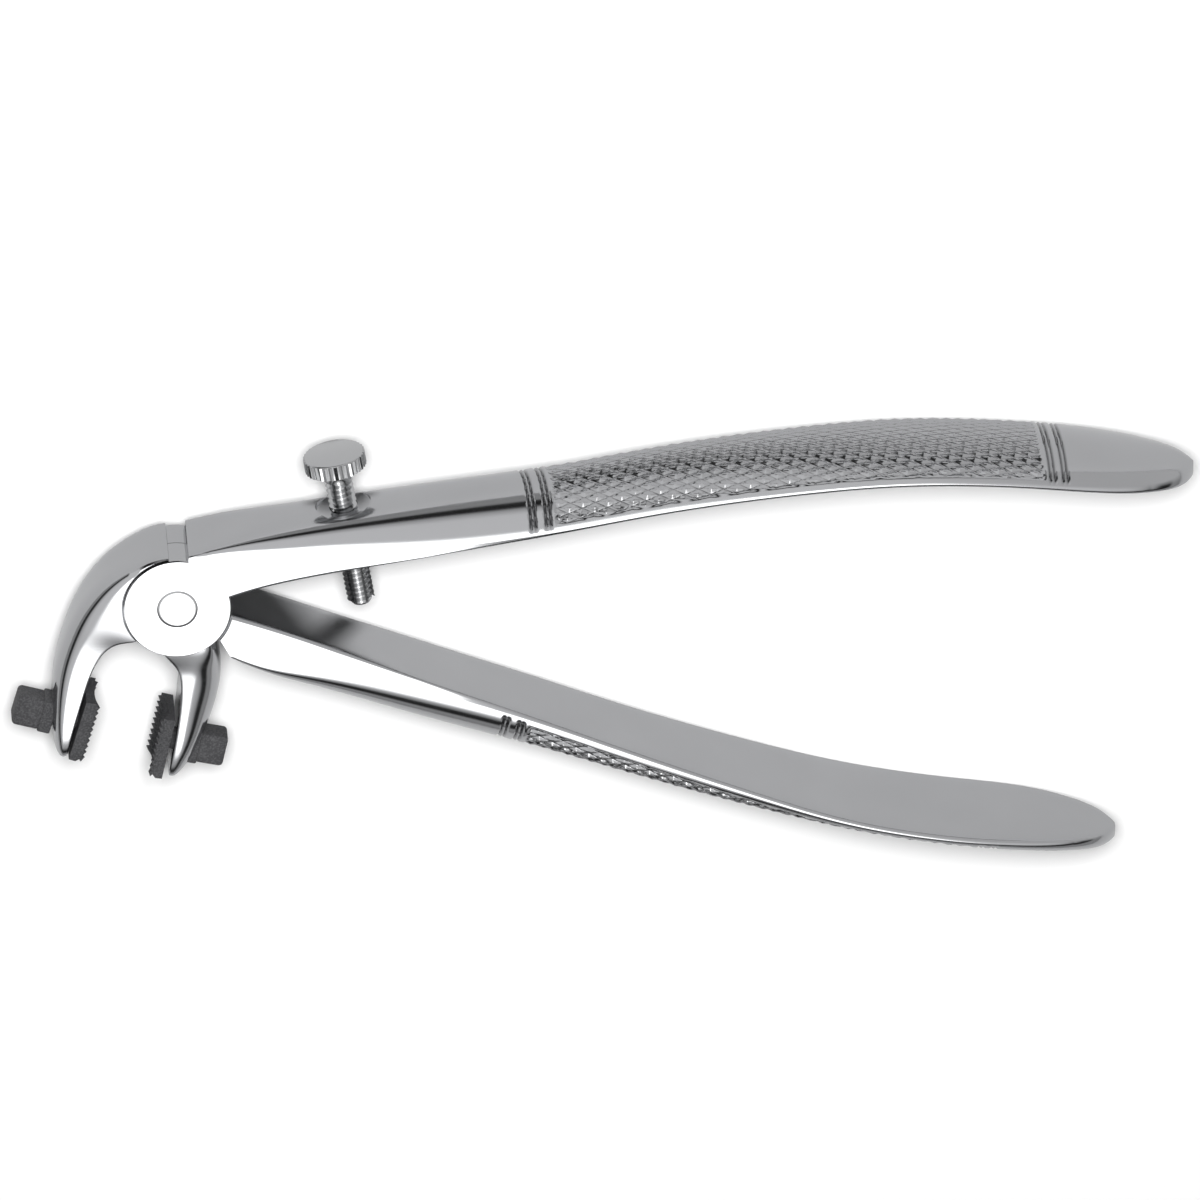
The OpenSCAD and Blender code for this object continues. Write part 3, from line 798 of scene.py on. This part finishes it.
# %% Upper lever
disc = [(0, mid - disc_overlap), (joint_r, mid - disc_overlap), (joint_r, joint_t - disc_chamfer),
        (joint_r - disc_chamfer, joint_t), (0, joint_t)]
upper = combine(upper_front, shaded_disc("upper_disc", disc), "UNION")
upper = combine(upper, jaws["upper"], "UNION")
pocket = [(0, -3), (cut_r, -3), (cut_r, mid + lap), (0, mid + lap)]
upper = combine(upper, lathe("lower_pocket", pocket, 200), "DIFFERENCE")
upper = combine(upper, bore(0.05), "DIFFERENCE")
for tool in pad_cuts("inner_pad"):
    upper = combine(upper, tool, "DIFFERENCE")
hole = moved(lathe("screw_hole", [(0, -16), (screw_hole_r, -16), (screw_hole_r, 5), (0, 5)], 64), at_screw)
spot = moved(lathe("spot_face", [(0, -0.3), (spot_r, -0.3), (spot_r, 4), (0, 4)], 96), at_screw)
upper = combine(combine(upper, hole, "DIFFERENCE"), spot, "DIFFERENCE")
upper.name = "Upper_lever"
print(upper.name, len(upper.data.polygons), "faces before the grip")


weld(lower, lower_grip, lower_meet)
weld(upper, upper_grip, upper_meet)
for lever, node in ((lower, "lower_lever"), (upper, "upper_lever")):
    tidy_mesh(lever)
    crisp(lever, 30)
    lever.data.materials.clear()
    lever.data.materials.append(polished)
    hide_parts(node)
    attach(lever, node)

# %% [markdown]
# ## Rivet
# The rivet is peened and polished flush, so only a fine ring shows. A lathe profile with a nearly flat face
# and a small rounded rim catches the light just as that ring does. Its ends are alike, so the second half of
# the profile is the first one turned over.

# %% Turn the rivet
half_line = [(0, 0), (1.4, 0), (2.45, 0.01), (2.66, 0.03), (2.76, 0.09), (rivet_shank, rivet_sink)]
rivet = lathe("Joint_rivet_turned", half_line + [(r, joint_t - z) for r, z in reversed(half_line)], 128)
crisp(rivet, 40)
rivet.data.materials.append(bright)
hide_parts("joint_rivet")
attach(rivet, "lower_lever")

# %% [markdown]
# ## Stop screw
# The screw is turned on a lathe, so its core is a lathe profile. Its thread follows a helix and its head's
# flutes repeat round a circle. Both suit Geometry Nodes: a spiral swept with a triangle, and one small bar
# instanced on a ring of points.

# %% Thread tree
def thread_tree():
    tree, gin, gout = open_tree("Thread", "GeometryNodeTree", [
        ("Geometry", "geometry", None), ("Radius", "float", 1.0), ("Pitch", "float", 0.7),
        ("Turns", "float", 10.0), ("Start", "float", 0.0), ("Ridge", "float", 0.3),
        ("Finish", "material", None)], [("Geometry", "geometry")])
    height = calc(tree, "MULTIPLY", gin.outputs["Turns"], gin.outputs["Pitch"])
    helix = add(tree, "GeometryNodeCurveSpiral", {
        "Resolution": 40, "Rotations": gin.outputs["Turns"], "Start Radius": gin.outputs["Radius"],
        "End Radius": gin.outputs["Radius"], "Height": height})
    upright = add(tree, "GeometryNodeSetCurveNormal", {"Curve": helix.outputs[0]}, mode="Z_UP")
    profile = add(tree, "GeometryNodeCurvePrimitiveCircle", {"Resolution": 3, "Radius": gin.outputs["Ridge"]})
    turned = add(tree, "GeometryNodeTransform", {"Geometry": profile.outputs[0], "Rotation": (0, 0, math.pi)})
    ridge = add(tree, "GeometryNodeCurveToMesh", {
        "Curve": upright.outputs[0], "Profile Curve": turned.outputs[0], "Fill Caps": True})
    lift = add(tree, "ShaderNodeCombineXYZ", {"Z": gin.outputs["Start"]})
    placed = add(tree, "GeometryNodeTransform", {
        "Geometry": ridge.outputs[0], "Translation": lift.outputs[0]})
    return close_tree(tree, gin, gout, gin.outputs[0], placed.outputs[0])


thread = thread_tree()
print("tree", thread.name, "with", len(thread.nodes), "nodes")


# %% Flute tree
def flute_tree():
    tree, gin, gout = open_tree("Flutes", "GeometryNodeTree", [
        ("Geometry", "geometry", None), ("Count", "int", 36), ("Radius", "float", 4.0),
        ("Height", "float", 2.0), ("Middle", "float", 1.0), ("Ridge", "float", 0.3),
        ("Finish", "material", None)], [("Geometry", "geometry")])
    circle = add(tree, "GeometryNodeMeshCircle", {
        "Vertices": gin.outputs["Count"], "Radius": gin.outputs["Radius"]})
    bar = add(tree, "GeometryNodeMeshCylinder", {
        "Vertices": 6, "Side Segments": 1, "Radius": gin.outputs["Ridge"], "Depth": gin.outputs["Height"]})
    spot = add(tree, "GeometryNodeInputPosition")
    turn = add(tree, "FunctionNodeAlignEulerToVector", {"Vector": spot.outputs[0]}, axis="X", pivot_axis="Z")
    many = add(tree, "GeometryNodeInstanceOnPoints", {
        "Points": circle.outputs[0], "Instance": bar.outputs[0], "Rotation": turn.outputs[0]})
    lift = add(tree, "ShaderNodeCombineXYZ", {"Z": gin.outputs["Middle"]})
    placed = add(tree, "GeometryNodeTransform", {"Geometry": many.outputs[0], "Translation": lift.outputs[0]})
    return close_tree(tree, gin, gout, gin.outputs[0], placed.outputs[0])


flutes = flute_tree()
print("tree", flutes.name, "with", len(flutes.nodes), "nodes")

# %% Turn the screw: chamfered tip, core, widening neck, and a head with a rounded rim
screw_r, under, length, head_r, head_h = 1.95, 5.6, 21.2, 4.35, 2.4
pitch, ridge = 0.78, 0.34
tip, top = under - length, under + head_h
core = screw_r - 0.46
rim = head_r - 0.22
profile = [(0, tip), (core - 0.25, tip), (core, tip + 0.35), (core, under - 1.9), (screw_r, under - 1.6),
           (screw_r + 0.05, under - 0.9), (screw_r + 0.35, under - 0.3), (screw_r + 0.8, under),
           (rim - 0.33, under), (rim, under + 0.18), (rim, top - 0.2), (rim - 0.08, top - 0.06),
           (rim - 0.2, top), (0, top)]
screw = lathe("Stop_screw_turned", profile, 96)
print("turned", round(top - tip, 1), "mm long")

# %% Thread and flute the screw
screw.data.transform(Matrix.Scale(1 / MM, 4))
turns = (length - 2.1) / pitch
run_tree(screw, thread, radius=core + 0.12, pitch=pitch, turns=turns, start=tip + 0.4, ridge=ridge,
         finish=bright)
run_tree(screw, flutes, count=36, radius=head_r - 0.29, height=head_h - 0.42, middle=under + head_h / 2,
         ridge=0.29, finish=bright)
settle(screw)
screw.data.transform(at_screw)
screw.data.transform(Matrix.Scale(MM, 4))
crisp(screw, 35)
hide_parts("stop_screw")
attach(screw, "stop_screw")

# %% [markdown]
# ## Rubber pads
# A pad is one moulding: a ridged and hollowed plate, a stem that pulls through the jaw, a collar that holds
# it there and a tab to pull by. The blocks get rounded edges from a bevel, as a mould gives. The ridges
# repeat, so a tree sweeps one triangle along the hollow's arc and repeats it up the plate.

# %% Ridge tree
def ridge_tree():
    tree, gin, gout = open_tree("Pad ridges", "GeometryNodeTree", [
        ("Geometry", "geometry", None), ("Count", "int", 10), ("Pitch", "float", 0.9),
        ("First", "float", -4.0), ("Front", "float", 2.0), ("Hollow", "float", 0.7),
        ("Half Width", "float", 4.0), ("Ridge", "float", 0.5), ("Finish", "material", None)],
        [("Geometry", "geometry")])
    front, half = gin.outputs["Front"], gin.outputs["Half Width"]
    low = calc(tree, "SUBTRACT", front, gin.outputs["Hollow"])
    back = calc(tree, "MULTIPLY", half, -1.0)
    ends = [add(tree, "ShaderNodeCombineXYZ", {"X": x, "Z": z}).outputs[0]
            for x, z in ((front, back), (low, 0.0), (front, half))]
    arc = add(tree, "GeometryNodeCurveArc", {
        "Resolution": 20, "Start": ends[0], "Middle": ends[1], "End": ends[2]}, mode="POINTS")
    profile = add(tree, "GeometryNodeCurvePrimitiveCircle", {"Resolution": 3, "Radius": gin.outputs["Ridge"]})
    turned = add(tree, "GeometryNodeTransform", {"Geometry": profile.outputs[0], "Rotation": (0, 0, math.pi)})
    sweep = add(tree, "GeometryNodeCurveToMesh", {
        "Curve": arc.outputs[0], "Profile Curve": turned.outputs[0], "Fill Caps": True})
    step = add(tree, "ShaderNodeCombineXYZ", {"Y": gin.outputs["Pitch"]})
    start = add(tree, "ShaderNodeCombineXYZ", {"Y": gin.outputs["First"]})
    line = add(tree, "GeometryNodeMeshLine", {
        "Count": gin.outputs["Count"], "Start Location": start.outputs[0], "Offset": step.outputs[0]})
    many = add(tree, "GeometryNodeInstanceOnPoints", {
        "Points": line.outputs[0], "Instance": sweep.outputs[0]})
    return close_tree(tree, gin, gout, gin.outputs[0], many.outputs[0])


ridges = ridge_tree()
print("tree", ridges.name, "with", len(ridges.nodes), "nodes")

# %% Plate and blocks of a pad, in millimetres
pad_len, pad_w, pad_t, tooth_pitch, tooth_depth, hollow, toe_cut = 9.4, 8.0, 2.1, 0.9, 0.45, 0.7, 0.7


def rounded_block(bm, x0, x1, y, z, radius, segments):
    """Block from x0 to x1, with half sizes y and z and rounded edges."""
    made = bmesh.ops.create_cube(bm, size=1.0)["verts"]
    for v in made:
        v.co = Vector(((x0 + x1) / 2 + v.co.x * (x1 - x0), v.co.y * 2 * y, v.co.z * 2 * z))
    edges = list({e for v in made for e in v.link_edges})
    bmesh.ops.bevel(bm, geom=edges, offset=radius, segments=segments, profile=0.5, affect="EDGES")


def plate(bm):
    """The gripping plate: flat back, a straight rim drawn in slightly towards the back, and a front that
    follows the hollow.
    """
    half_y, half_z, front, last = pad_len / 2, pad_w / 2, pad_t - tooth_depth, 24
    ys = np.linspace(-half_y, half_y, last + 1)
    zs = np.linspace(-half_z, half_z, last + 1)
    rows = []
    for y in ys:
        toe = max(0.0, toe_cut - half_y - y)
        rows.append([bm.verts.new((front - hollow * (1 - (z / half_z) ** 2) - toe, y, z)) for z in zs])
    for i in range(last):
        for j in range(last):
            bm.faces.new((rows[i][j], rows[i + 1][j], rows[i + 1][j + 1], rows[i][j + 1]))
    edge_of = [rows[i][0] for i in range(last)] + rows[last][:last]
    edge_of += [rows[i][last] for i in range(last, 0, -1)] + rows[0][last:0:-1]
    rim = [bm.verts.new((0.0, v.co.y * 0.99, v.co.z * 0.99)) for v in edge_of]
    for k in range(len(rim)):
        after = (k + 1) % len(rim)
        bm.faces.new((edge_of[k], edge_of[after], rim[after], rim[k]))
    bm.faces.new(rim)


print("teeth every", tooth_pitch, "mm on a plate of", pad_len, "by", pad_w, "mm")


# %% Mould both pads
collar_deep, collar_round = 1.75, 0.25
tab_from, tab_to, tab_high, tab_wide, tab_round = 1.4, 5.5, 2.3, 2.08, 0.6
stem_r = 1.58


def mould(name, piece, body):
    """Plate, collar, tab and stem in one mesh, then the ridges; through is the jaw's thickness there."""
    m, through = at_pad(name)
    bm = bmesh.new()
    plate(bm)
    rounded_block(bm, -through - collar_deep, -through + 0.1, collar_high, collar_wide, collar_round, 3)
    rounded_block(bm, -through - tab_to, -through - tab_from, tab_high, tab_wide, tab_round, 4)
    stem = bmesh.ops.create_cone(bm, cap_ends=True, segments=40, radius1=stem_r, radius2=stem_r,
                                 depth=through + 0.8)
    for v in stem["verts"]:
        v.co = Vector((v.co.z - through / 2, v.co.y, v.co.x))
    bmesh.ops.recalc_face_normals(bm, faces=bm.faces[:])
    obj = new_piece(piece, [], [])
    bm.to_mesh(obj.data)
    bm.free()
    run_tree(obj, ridges, count=10, pitch=tooth_pitch, first=-pad_len / 2 + 0.62,
             front=pad_t - tooth_depth + 0.05, hollow=hollow, half_width=pad_w / 2 - 0.02, ridge=0.5,
             finish=black_rubber)
    settle(obj)
    obj.data.transform(m)
    obj.data.transform(Matrix.Scale(MM, 4))
    point_out(obj)
    crisp(obj, 35)
    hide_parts(name)
    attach(obj, body)


mould("outer_pad", "Outer_pad_moulded", "lower_lever")
mould("inner_pad", "Inner_pad_moulded", "upper_lever")

# %% [markdown]
# ## Floor, light and camera
# Polished steel shows its surroundings, so the light is part of its look. The pliers lie on a pale floor that
# reflections see darker than the camera does. A broad soft box whitens the faces that point up. The world is
# grey low down and light overhead, with a dark band between, which draws the dark lines along the backs and
# fades out to one side. A key light from the camera's side lights the floor and shows in no reflection.

# %% Floor
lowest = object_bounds()[0][2]
bpy.ops.mesh.primitive_plane_add(size=6.0, location=(0.06, 0, lowest - 0.0001))
floor = bpy.context.object
floor.name = "Floor"
mat, tree, shader = begin_finish("Pale floor")
shader.inputs["Roughness"].default_value = 0.9
shader.inputs["Specular IOR Level"].default_value = 0.0
mirrored = add(tree, "ShaderNodeLightPath").outputs["Is Glossy Ray"]
paper = blend(tree, mirrored, (0.88, 0.88, 0.88, 1), (0.52, 0.52, 0.525, 1))
tree.links.new(paper, shader.inputs["Base Color"])
floor.data.materials.append(mat)
print("floor at", round(lowest, 5))

# %% World
world = bpy.data.worlds.new("Studio")
bpy.context.scene.world = world
world.use_nodes = True
tree = world.node_tree
tree.nodes.clear()
wout = tree.nodes.new("ShaderNodeOutputWorld")
back = tree.nodes.new("ShaderNodeBackground")
tree.links.new(back.outputs[0], wout.inputs[0])
way = add(tree, "ShaderNodeTexCoord").outputs["Generated"]
parts = add(tree, "ShaderNodeSeparateXYZ", {0: way})
# height from 0 straight down to 1 straight up, and the grey there
stops = [(0.0, 0.5), (0.495, 0.5), (0.505, 0.3), (0.63, 0.36), (0.675, 0.02), (0.765, 0.02), (0.81, 0.45),
         (0.9, 0.8), (1.0, 0.82)]
ramp = tree.nodes.new("ShaderNodeValToRGB")
tree.links.new(calc(tree, "MULTIPLY_ADD", parts.outputs[2], 0.5, 0.5), ramp.inputs[0])
while len(ramp.color_ramp.elements) < len(stops):
    ramp.color_ramp.elements.new(0.5)
for el, (height, level) in zip(ramp.color_ramp.elements, stops):
    el.position = height
    el.color = (level, level, level * 1.01, 1)
to_side, to_back = (
    add(tree, "ShaderNodeMapRange", {"Value": parts.outputs[k], "From Min": low, "From Max": high}).outputs[0]
    for k, low, high in ((0, 0.02, 0.25), (1, -0.2, 0.2)))
band = blend(tree, calc(tree, "MULTIPLY", to_side, to_back), ramp.outputs[0], (0.6, 0.6, 0.605, 1))
path = add(tree, "ShaderNodeLightPath")
room = blend(tree, path.outputs["Is Glossy Ray"], (0.16, 0.16, 0.16, 1), band)
seen = blend(tree, path.outputs["Is Camera Ray"], room, (1, 1, 1, 1))
tree.links.new(seen, back.inputs[0])
back.inputs[1].default_value = 1.0
print("world", world.name, "with", len(tree.nodes), "nodes")


# %% Lights
def soft_light(name, spot, aim, size, power):
    """Area light at a spot, turned to an aim; sizes in metres and power in watts."""
    data = bpy.data.lights.new(name, "AREA")
    data.shape, data.size, data.size_y, data.energy = "RECTANGLE", size[0], size[1], power
    lamp = bpy.data.objects.new(name, data)
    lamp.location = spot
    lamp.rotation_euler = (Vector(aim) - Vector(spot)).to_track_quat("-Z", "Y").to_euler()
    bpy.context.scene.collection.objects.link(lamp)
    return lamp


box = soft_light("Overhead soft box", (0.08, -0.58, 1.06), (0.0, 0, 0.006), (0.44, 0.8), 2.9)
box.visible_diffuse = False
box.data.use_nodes = True
tree = box.data.node_tree
glow = next(n for n in tree.nodes if n.type == "EMISSION")
across = add(tree, "ShaderNodeSeparateXYZ", {0: add(tree, "ShaderNodeNewGeometry").outputs["Parametric"]})
# full strength in the middle half of each side, and none at its ends
from_end = [calc(tree, "PINGPONG", across.outputs[k], 0.5) for k in (0, 1)]
strength = [calc(tree, "MINIMUM", calc(tree, "MULTIPLY", place, 4.0), 1.0) for place in from_end]
tree.links.new(calc(tree, "MULTIPLY", *strength), glow.inputs["Strength"])
key = soft_light("Key light", (-0.05, 0.64, 1.24), (0.06, 0, 0), (0.4, 0.4), 25.0)
key.visible_glossy = False
bpy.context.scene.view_settings.view_transform = "Standard"
print("lights", box.name, "and", key.name)

# %% Camera
cam_data = bpy.data.cameras.new("Camera")
cam = bpy.data.objects.new("Camera", cam_data)
bpy.context.scene.collection.objects.link(cam)
right, up = Vector((0.9968, 0.0369, 0.0710)), Vector((0, 0.8872, -0.4615))
back_way = Vector((-0.080, 0.460, 0.8843))
target = Vector((0.05945, -0.0015, mid * MM))
distance, frame_width = 1.8, 0.168
turn = Matrix((right, up, back_way)).transposed()
cam.matrix_world = Matrix.Translation(target + back_way * distance) @ turn.to_4x4()
cam_data.sensor_width = 36.0
cam_data.lens = cam_data.sensor_width * distance / frame_width
cam_data.clip_start, cam_data.clip_end = 0.1, 20
bpy.context.scene.camera = cam
print("camera at", tuple(round(c, 3) for c in cam.location), "lens", round(cam_data.lens, 1))
